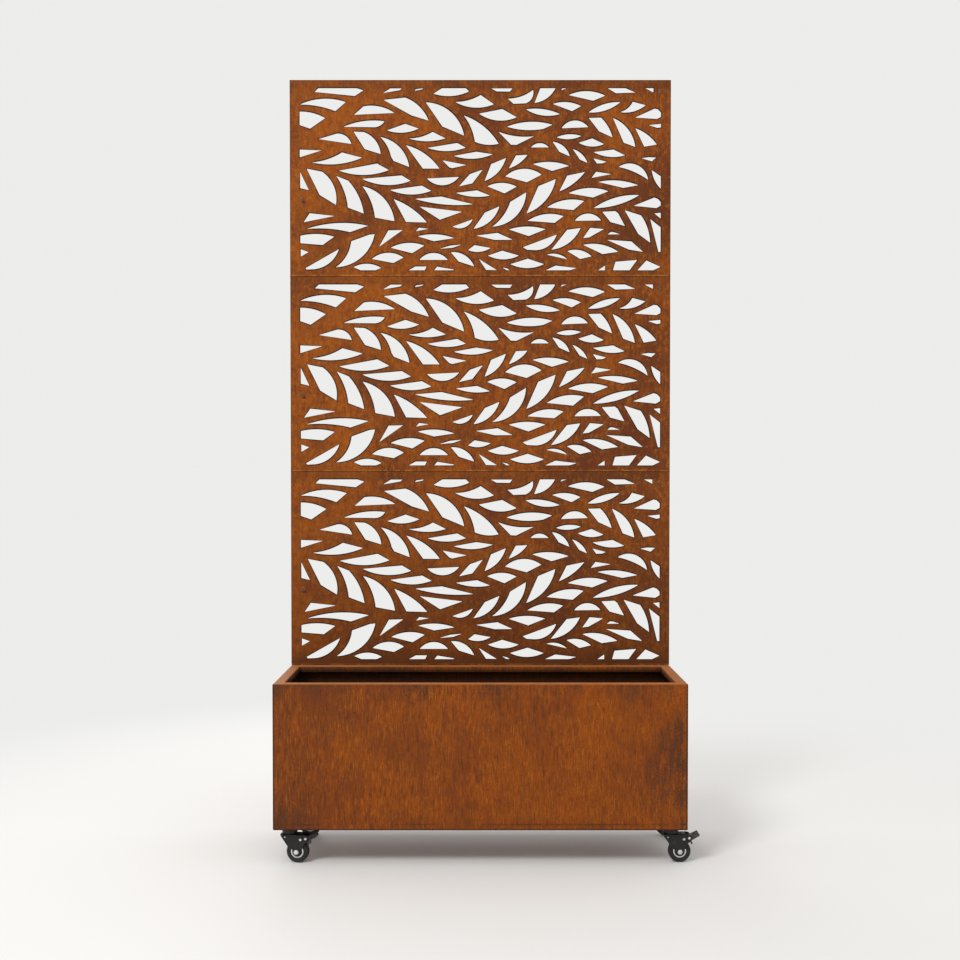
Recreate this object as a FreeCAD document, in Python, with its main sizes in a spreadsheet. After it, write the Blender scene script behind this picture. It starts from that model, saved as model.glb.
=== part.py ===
import FreeCAD, Part
import math
import os

import Sketcher

# A planter box of weathering steel on four braked swivel casters, with a screen of three
# leaf-cut steel panels standing at its back on two square-tube uprights.
# Frame: +X to the right, the open front of the planter at -Y, +Z up, origin on the ground
# under the middle of the planter. Lengths are in millimetres, angles in degrees.

doc = FreeCAD.newDocument("leaf_screen_planter")
sizes = doc.addObject("Spreadsheet::Sheet", "sizes")

DRIVING_SIZES = (
    # Planter box: folded sheet walls with an inward rim, a turned-down lip and a bottom return
    ("planter_width", 914),
    ("planter_depth", 305),
    ("planter_height", 324),
    ("underside_height", 79.5),
    ("planter_sheet", 2),
    ("planter_bend", 3),
    ("rim_width", 24),
    ("lip_height", 14),
    ("return_width", 15),
    ("floor_play", 1),
    ("drain_radius", 6),
    ("drain_pitch_x", 260),
    ("drain_pitch_y", 110),
    # Screen panels: shallow pans, folded back on all four sides
    ("screen_height", 468.5),
    ("screen_sheet", 1.5),
    ("screen_depth", 24),
    ("screen_bend", 3),
    ("side_margin", 24),
    ("top_margin", 20),
    ("bottom_margin", 14),
    # Uprights: square tube, fixed to the back of the planter
    ("tube_side", 20),
    ("tube_wall", 1.5),
    ("tube_corner", 2),
    ("upright_clearance", 30),
    ("notch_play", 0.5),
    ("plug_plate", 2),
    ("plug_depth", 12),
    ("plug_play", 0.1),
    # Casters: swivel axis, stem and ball race
    ("caster_inset_x", 32),
    ("caster_inset_y", 40),
    ("front_left_turn", -10),
    ("stem_radius", 5),
    ("stem_play", 0.05),
    ("stem_hole_play", 0.25),
    ("stem_rise", 14),
    ("stem_head_radius", 8),
    ("stem_head", 3.2),
    ("stem_nut", 8),
    ("stem_hex_radius", 9.8),
    ("race_top_radius", 12),
    ("race_radius", 17),
    ("race_slope", 7),
    ("race_skirt", 8.2),
    ("ball_ring_radius", 13.5),
    ("swivel_gap", 0.3),
    # Casters: fork, a bent steel plate with two legs and a pair of ears for the brake pedal
    ("fork_top", 64.5),
    ("fork_gap", 22),
    ("fork_sheet", 2.5),
    ("crown_sheet", 3),
    ("crown_front", 18),
    ("crown_back", 31),
    ("crown_bend", 3),
    ("leg_shoulder", 61),
    ("leg_front", 3),
    ("leg_back", 31),
    ("leg_foot", 30.5),
    ("boss_radius", 9),
    ("knee_reach", 37),
    ("knee_height", 44),
    ("ear_reach", 45.5),
    ("ear_low", 50),
    ("ear_high", 60),
    ("ear_round", 4),
    # Casters: wheel and axle
    ("wheel_radius", 25),
    ("wheel_width", 19),
    ("shoulder_width", 2.5),
    ("shoulder_drop", 2),
    ("trail", 19),
    ("axle_radius", 3),
    ("axle_play", 0.05),
    ("axle_hex_radius", 5.8),
    ("axle_head", 3),
    # Casters: brake pedal and its pin
    ("pedal_reach", 39.5),
    ("pedal_height", 55.5),
    ("pedal_width", 20.4),
    ("pin_radius", 2),
    ("pin_play", 0.05),
    ("barrel_radius", 5),
    ("pad_reach", 24),
    ("pad_rise", 12.5),
    ("tab_reach", 8.3),
    ("tab_drop", 14.3),
    ("pedal_sheet", 3),
    # How far every cut runs past the face that it opens
    ("overrun", 5),
)

for row, (alias, number) in enumerate(DRIVING_SIZES, start=1):
    sizes.set(f"A{row}", alias)
    sizes.set(f"B{row}", str(number))
    sizes.setAlias(f"B{row}", alias)
doc.recompute()


def value(alias):
    """A driving size as a plain number."""
    return float(sizes.get(alias))


# One leaf-cut window, leaf by leaf. Every corner is given in hundredths of the window's width
# from its left side and hundredths of its height from its top. A corner with four numbers
# starts an arc, which passes through its second pair on the way to the next corner.
LEAF_SHARES = (
    # Upper left
    ((4.1, 2.1), (5.2, 0.0), (15.8, 0.0), (17.7, 1.2), (15.3, 4.3)),
    ((0.0, 9.0, 6.3, 5.8), (12.8, 7.6), (9.9, 12.6, 5.2, 9.9)),
    ((0.0, 12.8, 3.6, 13.6), (7.1, 16.4), (2.9, 22.2), (0.0, 20.2)),
    ((15.0, 14.6), (17.7, 9.9, 21.8, 9.9), (26.3, 13.6)),
    ((12.0, 21.2, 16.6, 18.4), (23.5, 18.1, 22.2, 20.6), (20.2, 21.4)),
    ((5.2, 27.9), (10.2, 24.9, 12.9, 26.4), (14.3, 30.6)),
    ((14.9, 23.8), (17.7, 24.0, 20.7, 28.0), (22.4, 36.1), (18.0, 33.4)),
    ((0.0, 33.6), (6.1, 34.1), (0.0, 37.9)),
    ((23.0, 2.7), (25.1, 0.1), (28.3, 0.1), (27.8, 1.1)),
    ((31.8, 1.5), (32.2, 0.5), (34.3, 0.0), (33.9, 0.7)),
    ((23.2, 6.4), (29.2, 5.1, 32.7, 9.2), (35.7, 17.8), (30.9, 14.9)),
    ((34.9, 7.7, 41.5, 12.5), (45.5, 26.0), (39.5, 21.0)),
    ((24.1, 23.1), (29.2, 19.5), (33.0, 22.1, 28.6, 24.4)),
    ((22.3, 26.7, 27.5, 32.0), (30.3, 43.2), (26.0, 39.9), (25.3, 37.6, 24.3, 32.0)),
    ((30.0, 27.5, 34.0, 26.4), (36.8, 23.9), (40.4, 27.5, 35.6, 29.1)),
    ((29.4, 31.2, 34.9, 36.3), (38.7, 44.1), (34.1, 44.1)),
    # Upper middle
    ((37.0, 3.0), (39.4, 0.0), (46.0, 0.0), (46.9, 1.8, 42.2, 4.3)),
    ((43.0, 7.5, 47.2, 6.3), (50.1, 3.7), (53.8, 8.8, 48.8, 10.7)),
    ((53.0, 0.1), (58.9, 0.1), (58.2, 1.9), (54.5, 1.8)),
    ((57.6, 5.7, 61.7, 4.2), (64.6, 0.9, 64.2, 5.8), (62.6, 8.3), (59.2, 8.6)),
    ((49.6, 13.9), (56.1, 11.4), (60.1, 15.9, 55.7, 17.8)),
    ((45.4, 14.9, 51.1, 21.2), (55.1, 30.5, 51.7, 31.0), (48.5, 29.4, 47.4, 21.5)),
    ((57.3, 21.1, 64.0, 18.4), (70.0, 20.0), (67.5, 22.3, 63.2, 23.0)),
    ((55.0, 23.8, 58.9, 26.0), (64.9, 26.3), (60.0, 31.1), (58.5, 31.0)),
    ((35.3, 32.7), (43.6, 30.0), (46.0, 32.6, 40.8, 34.5)),
    ((42.6, 37.1), (48.9, 34.8), (53.5, 36.2, 47.9, 38.7)),
    ((39.5, 39.5), (46.2, 42.1), (42.2, 43.9), (41.4, 43.4)),
    ((64.0, 32.5, 66.5, 30.1), (69.0, 32.5)),
    ((57.9, 44.0), (59.9, 36.8), (63.1, 36.5, 61.1, 40.7)),
    # Upper right
    ((66.6, 0.0), (70.8, 0.0, 68.9, 4.8), (65.0, 8.1)),
    ((72.3, 1.2), (72.7, 0.1), (74.0, 0.0)),
    ((74.4, 3.8, 79.2, 1.6), (84.6, 4.1), (81.2, 6.9)),
    ((85.2, 0.0), (90.2, 0.0), (93.0, 2.4), (87.5, 2.8)),
    ((95.6, 0.0), (97.9, 0.0), (97.9, 2.4)),
    ((70.0, 8.6, 74.0, 7.6), (77.9, 9.8), (75.4, 12.6)),
    ((62.6, 11.6, 67.6, 11.5), (72.1, 14.2, 67.4, 15.0)),
    ((79.9, 13.3, 84.0, 8.9), (88.8, 7.6, 85.6, 11.5)),
    ((88.5, 13.1, 90.8, 11.0), (92.2, 7.4), (95.8, 9.3, 92.9, 12.5)),
    ((92.8, 16.1), (98.2, 11.2), (99.1, 11.5), (100, 13.3), (100, 15.7), (98.9, 16.9)),
    ((96.6, 20.2), (100, 19.5), (100, 21.5), (99.0, 21.8)),
    ((72.5, 22.0, 76.1, 17.7), (79.9, 21.4)),
    ((80.0, 16.3), (83.4, 16.1, 85.2, 20.4), (86.6, 27.0), (82.9, 23.7)),
    ((86.7, 16.3, 90.8, 22.2), (92.9, 32.2), (89.7, 29.9)),
    ((92.9, 21.9, 96.6, 26.0), (98.9, 30.9), (95.4, 32.1)),
    ((71.1, 26.9, 74.9, 25.2), (78.0, 26.2, 75.4, 27.8)),
    ((77.2, 29.9), (81.0, 27.5), (84.3, 30.6, 80.8, 32.0)),
    ((70.0, 29.3, 73.1, 31.9), (74.8, 37.4), (71.9, 34.9)),
    ((75.6, 33.3, 78.1, 36.1), (79.7, 41.0), (77.6, 39.2)),
    ((81.3, 35.0), (86.9, 33.6), (90.1, 36.8, 86.0, 37.7)),
    ((81.3, 38.4), (85.0, 40.3), (83.9, 41.2), (82.3, 41.3)),
    ((94.6, 38.4), (96.6, 37.8), (98.7, 38.0), (97.5, 40.1)),
    # Middle left
    ((3.3, 40.7, 8.2, 38.6), (11.7, 35.2), (17.3, 38.1, 11.0, 41.5)),
    ((10.8, 45.2), (21.4, 41.3), (24.7, 44.9, 17.6, 47.6)),
    ((0.1, 46.0), (2.5, 55.9), (0.1, 54.8)),
    ((1.9, 44.1), (6.2, 45.8, 8.7, 51.0), (10.0, 64.0), (5.5, 58.6)),
    ((10.1, 48.1), (13.4, 50.7, 15.7, 57.0), (17.7, 68.8), (13.3, 65.5, 12.2, 56.0)),
    ((17.2, 49.7), (28.2, 47.8), (30.7, 50.8, 24.0, 53.1)),
    ((17.3, 53.7, 23.1, 60.0), (26.2, 73.0), (20.8, 71.0, 19.7, 62.0)),
    ((24.9, 55.8), (33.8, 53.4), (36.4, 56.3, 30.2, 58.3)),
    ((26.0, 60.8, 31.7, 67.0), (35.2, 73.7), (29.4, 73.4)),
    ((0.1, 60.6), (1.6, 62.7), (0.6, 62.2)),
    # Middle
    ((35.2, 49.5), (44.1, 48.6, 39.9, 53.2)),
    ((44.1, 53.8), (47.1, 47.1), (50.7, 44.6), (47.8, 52.2)),
    ((51.2, 50.9), (53.0, 41.6), (57.1, 38.2, 55.3, 45.2)),
    ((51.9, 53.8, 56.0, 51.9), (60.1, 54.0), (56.7, 57.7)),
    ((56.9, 48.4, 61.8, 44.2), (67.0, 47.4), (62.9, 51.6)),
    ((43.2, 57.4), (49.1, 56.0), (52.7, 58.9, 48.4, 59.6)),
    ((31.8, 60.7), (39.2, 59.4), (48.1, 63.7, 40.0, 63.8)),
    ((33.1, 64.9), (45.0, 67.8), (38.8, 72.2)),
    ((64.5, 41.6, 69.2, 40.4), (74.6, 42.6), (69.9, 45.4)),
    # Middle right
    ((53.3, 76.0, 56.5, 69.6), (58.3, 62.4), (62.7, 57.1, 60.6, 68.6)),
    ((62.8, 68.7), (66.1, 53.7), (70.9, 49.8, 68.7, 60.0)),
    ((71.9, 56.6), (74.1, 47.9), (79.0, 45.9, 76.0, 52.0)),
    ((80.8, 49.2), (82.1, 45.8), (86.4, 47.1)),
    ((74.4, 57.6, 80.2, 54.7), (85.5, 56.5), (81.2, 60.0)),
    ((82.6, 51.4, 88.0, 50.6), (93.8, 53.2), (89.6, 54.7)),
    ((88.3, 43.2, 93.3, 42.0), (96.5, 50.3, 92.6, 45.9)),
    ((97.5, 44.9), (100, 48.3), (100, 55.1, 98.4, 50.9)),
    ((68.5, 65.4, 74.0, 61.2), (78.8, 61.9), (75.8, 66.9)),
    ((81.4, 65.8, 87.0, 60.3), (94.1, 58.6, 88.8, 63.5)),
    ((92.5, 64.5), (98.2, 60.0), (99.2, 60.7), (100, 62.4), (100, 64.4), (98.8, 65.8)),
    # Lower left
    ((1.0, 73.6), (2.7, 68.6), (9.7, 70.1)),
    ((1.7, 77.3, 10.6, 74.0), (18.9, 75.5), (13.9, 79.0, 7.8, 77.1)),
    ((0.1, 81.0, 4.5, 80.0), (9.5, 81.5), (6.3, 86.1), (0.1, 85.1)),
    ((0.2, 88.4), (2.4, 90.0), (0.2, 92.5)),
    ((1.5, 98.8), (10.8, 88.3, 8.5, 95.4), (4.0, 99.4), (1.8, 99.6)),
    ((9.9, 98.3, 13.0, 91.6), (14.2, 84.0), (19.2, 80.4), (20.7, 80.1, 17.8, 91.4)),
    ((14.8, 98.3, 18.4, 96.4), (22.5, 98.7), (21.0, 100), (16.8, 100)),
    ((21.9, 87.1), (24.5, 78.0), (28.5, 77.8)),
    ((25.1, 87.6, 30.4, 84.9), (34.5, 86.4), (31.1, 90.6)),
    ((19.9, 93.8, 24.0, 90.4), (28.7, 93.0), (25.9, 96.0)),
    ((32.1, 78.5), (33.0, 76.5), (35.7, 77.2)),
    ((32.6, 81.3, 37.7, 80.2), (42.8, 82.3), (37.1, 84.0)),
    ((38.6, 88.2), (41.6, 86.4), (44.9, 85.8), (42.4, 87.6)),
    ((33.1, 94.3, 37.5, 90.5), (41.0, 94.3)),
    ((30.1, 100), (32.0, 97.9), (35.1, 97.9), (34.6, 100)),
    ((37.2, 100), (38.0, 98.0), (42.8, 99.6), (42.4, 100)),
    # Lower middle
    ((42.2, 76.0), (47.9, 71.9, 46.4, 75.6), (43.8, 76.9)),
    ((48.1, 77.2), (51.3, 68.2), (55.3, 64.8, 53.1, 72.3)),
    ((48.8, 80.9), (54.8, 79.4), (59.0, 83.2), (54.0, 83.3)),
    ((46.6, 88.9), (48.4, 86.1), (52.9, 87.7, 49.6, 89.9)),
    ((52.1, 91.9), (56.1, 89.2), (60.7, 91.9, 56.4, 94.0)),
    ((41.8, 90.0, 46.2, 92.4), (48.3, 97.9), (44.0, 95.2)),
    ((49.6, 93.8), (54.6, 99.9), (51.6, 99.8)),
    ((56.1, 98.4), (57.5, 99.0), (58.2, 100), (57.2, 99.9)),
    ((57.9, 77.5, 63.2, 75.9), (68.1, 77.4), (63.4, 81.2)),
    ((63.1, 72.8, 68.0, 69.1), (73.1, 70.2), (70.6, 73.9)),
    ((61.8, 87.3), (71.2, 80.3, 69.3, 86.0), (64.8, 88.9), (63.0, 88.7)),
    ((58.3, 96.6), (63.2, 93.6), (67.7, 96.6, 63.2, 98.8)),
    # Lower right
    ((69.7, 88.7), (74.1, 77.7), (77.8, 76.7, 75.3, 83.7)),
    ((78.5, 82.3), (80.5, 76.6), (84.3, 77.3), (80.2, 81.9)),
    ((85.3, 80.3), (86.2, 78.9), (87.0, 79.0), (88.8, 80.2)),
    ((76.2, 72.8, 80.2, 68.8), (83.5, 72.6)),
    ((83.8, 67.8), (87.4, 67.4), (88.2, 68.6), (90.1, 75.6), (86.1, 73.5)),
    ((90.0, 66.9), (94.6, 69.8, 96.2, 75.8), (97.1, 84.8), (93.8, 80.0)),
    ((98.2, 68.7), (100, 68.3), (100, 71.5)),
    ((97.1, 71.8), (100, 76.3), (100, 89.9), (99.4, 89.9)),
    ((85.1, 83.2), (91.9, 84.1), (95.2, 89.9), (91.2, 88.6)),
    ((78.5, 86.0, 83.2, 85.7), (88.3, 89.8), (83.9, 91.1)),
    ((74.1, 89.4, 77.8, 89.0), (80.9, 92.3), (77.7, 93.8)),
    ((68.4, 91.4, 71.5, 91.1), (74.2, 94.0)),
    ((68.1, 100), (70.9, 97.4), (76.8, 98.8), (74.8, 100)),
    ((82.7, 100), (84.6, 97.4), (84.6, 100)),
    ((86.8, 100), (87.5, 95.3), (93.5, 94.3), (91.4, 100)),
    ((93.6, 100), (96.1, 94.6), (100, 98.1), (98.0, 100)),
)

nodes = []


def node(item):
    """Keep a finished sub-part for export under its own label."""
    nodes.append(item)
    return item


def bind(item, **expressions):
    """Tie properties of a document object to the sheet."""
    for name, text in expressions.items():
        item.setExpression(name, text)


def place(item, across="0", along="0", up="0"):
    """Tie the place of a document object to the sheet and keep its rotation."""
    for name, text in (("x", across), ("y", along), ("z", up)):
        item.setExpression(f"Placement.Base.{name}", text)
    return item


TURNS = {
    "y": FreeCAD.Rotation(FreeCAD.Vector(1, 0, 0), -90),
    "z": FreeCAD.Rotation(),
}


def block(name, size, corner):
    """A box with the given sizes and low corner."""
    item = doc.addObject("Part::Box", name)
    bind(item, Length=size[0], Width=size[1], Height=size[2])
    return place(item, *corner)


def rod(name, radius, length, start, axis="z"):
    """A round bar that runs from its start along one axis."""
    item = doc.addObject("Part::Cylinder", name)
    item.Placement.Rotation = TURNS[axis]
    bind(item, Radius=radius, Height=length)
    return place(item, *start)


def hexagon(name, corner_radius, height, start, axis="z"):
    """A six-sided bar, as for a bolt's head or a nut."""
    item = doc.addObject("Part::Prism", name)
    item.Placement.Rotation = TURNS[axis]
    bind(item, Circumradius=corner_radius, Height=height)
    return place(item, *start)


def cut(name, base, tools):
    """The base less all the tools."""
    item = doc.addObject("Part::Cut", name)
    item.Base = base
    item.Tool = group(f"{name}_tools", tools) if len(tools) > 1 else tools[0]
    return item


def fuse(name, pieces):
    """Several overlapping pieces as one solid."""
    item = doc.addObject("Part::MultiFuse", name)
    item.Shapes = pieces
    return item


def group(name, pieces):
    """Like pieces kept as separate solids under one name."""
    item = doc.addObject("Part::Compound", name)
    item.Links = pieces
    return item


def touches(edge, **levels):
    """Whether the whole edge lies at the given x, y or z."""
    near = 1e-4
    ends = [vertex.Point for vertex in edge.Vertexes]
    return all(abs(getattr(end, axis) - level) < near for end in ends for axis, level in levels.items())


def runs_along(edge, axis):
    """Whether a straight edge runs along the given axis."""
    return abs(getattr(edge.tangentAt(edge.FirstParameter), axis)) > math.cos(math.radians(1))


def rounded(name, base, radius, chosen):
    """The base with the chosen edges rounded."""
    doc.recompute()
    item = doc.addObject("Part::Fillet", name)
    item.Base = base
    edges = enumerate(base.Shape.Edges, start=1)
    item.Edges = [(number, radius, radius) for number, edge in edges if chosen(edge)]
    return item


def new_body(name):
    """An empty body and its origin planes by name."""
    body = doc.addObject("PartDesign::Body", name)
    planes = {plane.Role: plane for plane in body.Origin.OriginFeatures}
    return body, planes


def sketch_on(body, plane, name):
    """A sketch on one of the body's own origin planes."""
    sketch = body.newObject("Sketcher::SketchObject", name)
    sketch.AttachmentSupport = [(plane, "")]
    sketch.MapMode = "FlatFace"
    return sketch


def outline(sketch, corners):
    """A closed outline of straight lines, every corner tied to the sheet by two expressions."""
    spots = [tuple(float(sketch.evalExpression(text)) for text in corner) for corner in corners]
    count = len(spots)
    first = sketch.GeometryCount
    for here, there in zip(spots, spots[1:] + spots[:1]):
        sketch.addGeometry(Part.LineSegment(FreeCAD.Vector(*here, 0), FreeCAD.Vector(*there, 0)))
    for index in range(count):
        following = first + (index + 1) % count
        sketch.addConstraint(Sketcher.Constraint("Coincident", first + index, 2, following, 1))
    for index, corner in enumerate(corners):
        for kind, text, number in zip(("DistanceX", "DistanceY"), corner, spots[index]):
            size = Sketcher.Constraint(kind, -1, 1, first + index, 1, number)
            sketch.setExpression(f"Constraints[{sketch.addConstraint(size)}]", text)


def circle(sketch, radius, across, up):
    """A circle, its radius and centre tied to the sheet."""
    numbers = [float(sketch.evalExpression(text)) for text in (radius, across, up)]
    centre = FreeCAD.Vector(numbers[1], numbers[2], 0)
    ring = sketch.addGeometry(Part.Circle(centre, FreeCAD.Vector(0, 0, 1), numbers[0]))
    ring_sizes = (
        (Sketcher.Constraint("Radius", ring, numbers[0]), radius),
        (Sketcher.Constraint("DistanceX", -1, 1, ring, 3, numbers[1]), across),
        (Sketcher.Constraint("DistanceY", -1, 1, ring, 3, numbers[2]), up),
    )
    for size, text in ring_sizes:
        sketch.setExpression(f"Constraints[{sketch.addConstraint(size)}]", text)


def extruded(kind, body, sketch, length, name):
    """A pad or pocket that runs to both sides of its sketch."""
    feature = body.newObject(f"PartDesign::{kind}", name)
    feature.Profile = sketch
    feature.SideType = "Symmetric"
    bind(feature, Length=length)
    return feature


def turned(body, sketch, name):
    """A full turn of a sketch about its own upright axis."""
    feature = body.newObject("PartDesign::Revolution", name)
    feature.Profile = sketch
    feature.ReferenceAxis = (sketch, ["V_Axis"])
    return feature


def round_edges(body, base, radius, chosen, name):
    """Rounds on the chosen edges of a body's last feature."""
    doc.recompute()
    feature = body.newObject("PartDesign::Fillet", name)
    edges = enumerate(base.Shape.Edges, start=1)
    feature.Base = (base, [f"Edge{number}" for number, edge in edges if chosen(edge)])
    bind(feature, Radius=radius)
    return feature


HALF_WIDTH = "sizes.planter_width / 2"
HALF_DEPTH = "sizes.planter_depth / 2"
RIM_TOP = "(sizes.underside_height + sizes.planter_height)"
FLOOR_BOTTOM = "(sizes.underside_height + sizes.planter_sheet)"
FLOOR_TOP = "(sizes.underside_height + 2 * sizes.planter_sheet)"


def planter_wall(label, length, across, along, turn):
    """One wall of the planter: bottom return, face, rim and lip folded from one sheet, with
    both ends mitred to meet the walls beside it."""
    body, planes = new_body(label)
    high, sheet, rim = "sizes.planter_height", "sizes.planter_sheet", "sizes.rim_width"
    lip = f"{high} - sizes.lip_height"
    profile = sketch_on(body, planes["YZ_Plane"], f"{label}_profile")
    outline(
        profile,
        (
            ("0", "0"),
            ("sizes.return_width", "0"),
            ("sizes.return_width", sheet),
            (sheet, sheet),
            (sheet, f"{high} - {sheet}"),
            (f"{rim} - {sheet}", f"{high} - {sheet}"),
            (f"{rim} - {sheet}", lip),
            (rim, lip),
            (rim, high),
            ("0", high),
        ),
    )
    folded = extruded("Pad", body, profile, length, f"{label}_sheet")
    tall, wide, thick = value("planter_height"), value("rim_width"), value("planter_sheet")
    outer_bends = ((0, 0), (0, tall), (wide, tall))
    inner_bends = ((thick, thick), (thick, tall - thick), (wide - thick, tall - thick))
    for bends, radius, name in (
        (outer_bends, "sizes.planter_bend", "outer_bends"),
        (inner_bends, "sizes.planter_bend - sizes.planter_sheet", "inner_bends"),
    ):
        folded = round_edges(
            body,
            folded,
            radius,
            lambda edge: any(touches(edge, y=inward, z=up) for inward, up in bends),
            f"{label}_{name}",
        )
    mitres = sketch_on(body, planes["XY_Plane"], f"{label}_mitre_lines")
    half, deep = f"{length} / 2", f"({rim} + sizes.overrun)"
    for hand in ("", "-"):
        outline(
            mitres,
            (
                (f"{hand}({half})", "0"),
                (f"{hand}({half} + sizes.overrun)", "0"),
                (f"{hand}({half} + sizes.overrun)", deep),
                (f"{hand}({half} - {deep})", deep),
            ),
        )
    extruded("Pocket", body, mitres, f"2 * ({high} + sizes.overrun)", f"{label}_mitres")
    body.Placement.Rotation = FreeCAD.Rotation(FreeCAD.Vector(0, 0, 1), turn)
    return node(place(body, across, along, "sizes.underside_height"))


planter_wall("planter_front", "sizes.planter_width", "0", f"-{HALF_DEPTH}", 0)
planter_wall("planter_back", "sizes.planter_width", "0", HALF_DEPTH, 180)
planter_wall("planter_left", "sizes.planter_depth", f"-{HALF_WIDTH}", "0", -90)
planter_wall("planter_right", "sizes.planter_depth", HALF_WIDTH, "0", 90)

# Each caster: its name, the place of its swivel axis and its turn at rest
SWIVEL_ACROSS = f"({HALF_WIDTH} - sizes.caster_inset_x)"
SWIVEL_ALONG = f"({HALF_DEPTH} - sizes.caster_inset_y)"
CASTERS = (
    ("front_left", f"-{SWIVEL_ACROSS}", f"-{SWIVEL_ALONG}", value("front_left_turn")),
    ("front_right", SWIVEL_ACROSS, f"-{SWIVEL_ALONG}", 0),
    ("rear_left", f"-{SWIVEL_ACROSS}", SWIVEL_ALONG, 0),
    ("rear_right", SWIVEL_ACROSS, SWIVEL_ALONG, 0),
)


def planter_floor():
    """The floor panel: loose sheet on the walls' bottom returns, with drain and stem holes."""
    inner = "2 * (sizes.planter_sheet + sizes.floor_play)"
    wide, deep = f"(sizes.planter_width - {inner})", f"(sizes.planter_depth - {inner})"
    sheet = block(
        "floor_sheet",
        (wide, deep, "sizes.planter_sheet"),
        (f"-{wide} / 2", f"-{deep} / 2", FLOOR_BOTTOM),
    )
    through = "sizes.planter_sheet + 2 * sizes.overrun"
    start = f"{FLOOR_BOTTOM} - sizes.overrun"
    hole_radius = "sizes.stem_radius + sizes.stem_hole_play"
    holes = [rod(f"{name}_stem_hole", hole_radius, through, (x, y, start)) for name, x, y, turn in CASTERS]
    for side, across in (("left", "-sizes.drain_pitch_x / 2"), ("right", "sizes.drain_pitch_x / 2")):
        for end, along in (("front", "-sizes.drain_pitch_y / 2"), ("rear", "sizes.drain_pitch_y / 2")):
            spot = (across, along, start)
            holes.append(rod(f"{end}_{side}_drain", "sizes.drain_radius", through, spot))
    return node(cut("planter_floor", sheet, holes))


planter_floor()

# The uprights stand behind the panels, against their folded sides and the planter's back
UPRIGHT_INSET = f"({HALF_WIDTH} - sizes.screen_sheet - sizes.tube_side / 2)"
UPRIGHT_SIDES = (("left", f"-{UPRIGHT_INSET}"), ("right", UPRIGHT_INSET))
UPRIGHT_FOOT = "(sizes.underside_height + sizes.upright_clearance)"
UPRIGHT_HEAD = f"({RIM_TOP} + 3 * sizes.screen_height - sizes.screen_bend)"


def upright(side, across):
    """One upright: square tube with rounded corners."""
    name, tall = f"{side}_upright", f"({UPRIGHT_HEAD} - {UPRIGHT_FOOT})"
    bar = block(
        f"{name}_bar",
        ("sizes.tube_side", "sizes.tube_side", tall),
        (f"{across} - sizes.tube_side / 2", HALF_DEPTH, UPRIGHT_FOOT),
    )
    outside = rounded(f"{name}_outside", bar, value("tube_corner"), lambda edge: runs_along(edge, "z"))
    hollow = "(sizes.tube_side - 2 * sizes.tube_wall)"
    inside = block(
        f"{name}_inside",
        (hollow, hollow, f"{tall} + 2 * sizes.overrun"),
        (
            f"{across} - {hollow} / 2",
            f"{HALF_DEPTH} + sizes.tube_wall",
            f"{UPRIGHT_FOOT} - sizes.overrun",
        ),
    )
    return node(cut(name, outside, [inside]))


def upright_plug(side, across):
    """The plastic plug in an upright's lower end: a plate and a shank that fills the tube."""
    shank = "(sizes.tube_side - 2 * sizes.tube_wall - 2 * sizes.plug_play)"
    foot = f"{UPRIGHT_FOOT} - sizes.plug_plate"
    plate = block(
        f"{side}_plug_plate",
        ("sizes.tube_side", "sizes.tube_side", "sizes.plug_plate"),
        (f"{across} - sizes.tube_side / 2", HALF_DEPTH, foot),
    )
    core = block(
        f"{side}_plug_core",
        (shank, shank, "sizes.plug_depth + sizes.plug_plate"),
        (f"{across} - {shank} / 2", f"{HALF_DEPTH} + sizes.tube_wall + sizes.plug_play", foot),
    )
    return node(fuse(f"{side}_upright_plug", [plate, core]))


for upright_side in UPRIGHT_SIDES:
    upright(*upright_side)
    upright_plug(*upright_side)

WINDOW_WIDTH = value("planter_width") - 2 * value("side_margin")
WINDOW_HEIGHT = value("screen_height") - value("top_margin") - value("bottom_margin")
SCREEN_FACE = f"({HALF_DEPTH} - sizes.screen_sheet)"


def leaf_point(across_share, down_share):
    """A point of the window, from the middle of the panel's lower edge."""
    across = WINDOW_WIDTH * (across_share / 100 - 1 / 2)
    up = value("bottom_margin") + WINDOW_HEIGHT * (1 - down_share / 100)
    return FreeCAD.Vector(across, 0, up)


def leaf_outline(corners):
    """The closed outline of one leaf, in lines and arcs."""
    edges = []
    for here, there in zip(corners, corners[1:] + corners[:1]):
        start, end = leaf_point(*here[:2]), leaf_point(*there[:2])
        if len(here) > 2:
            edges.append(Part.Arc(start, leaf_point(*here[2:]), end).toShape())
        else:
            edges.append(Part.LineSegment(start, end).toShape())
    return Part.Wire(edges)


def leaf_bars():
    """All leaves of one window as bars that cut through the panel's face."""
    through = FreeCAD.Vector(0, value("screen_sheet") + 2 * value("overrun"), 0)
    bars = [Part.Face(leaf_outline(leaf)).extrude(through) for leaf in LEAF_SHARES]
    return Part.makeCompound(bars)


LEAF_BARS = leaf_bars()


def upright_notch(owner, side, across, seam):
    """A notch in the folded edges at a seam, where an upright passes."""
    wide = "(sizes.tube_side + 2 * sizes.notch_play)"
    return block(
        f"{owner}_{side}_notch",
        (wide, "sizes.screen_depth + sizes.overrun", "2 * sizes.screen_bend"),
        (f"{across} - {wide} / 2", HALF_DEPTH, f"{seam} - sizes.screen_bend"),
    )


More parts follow.
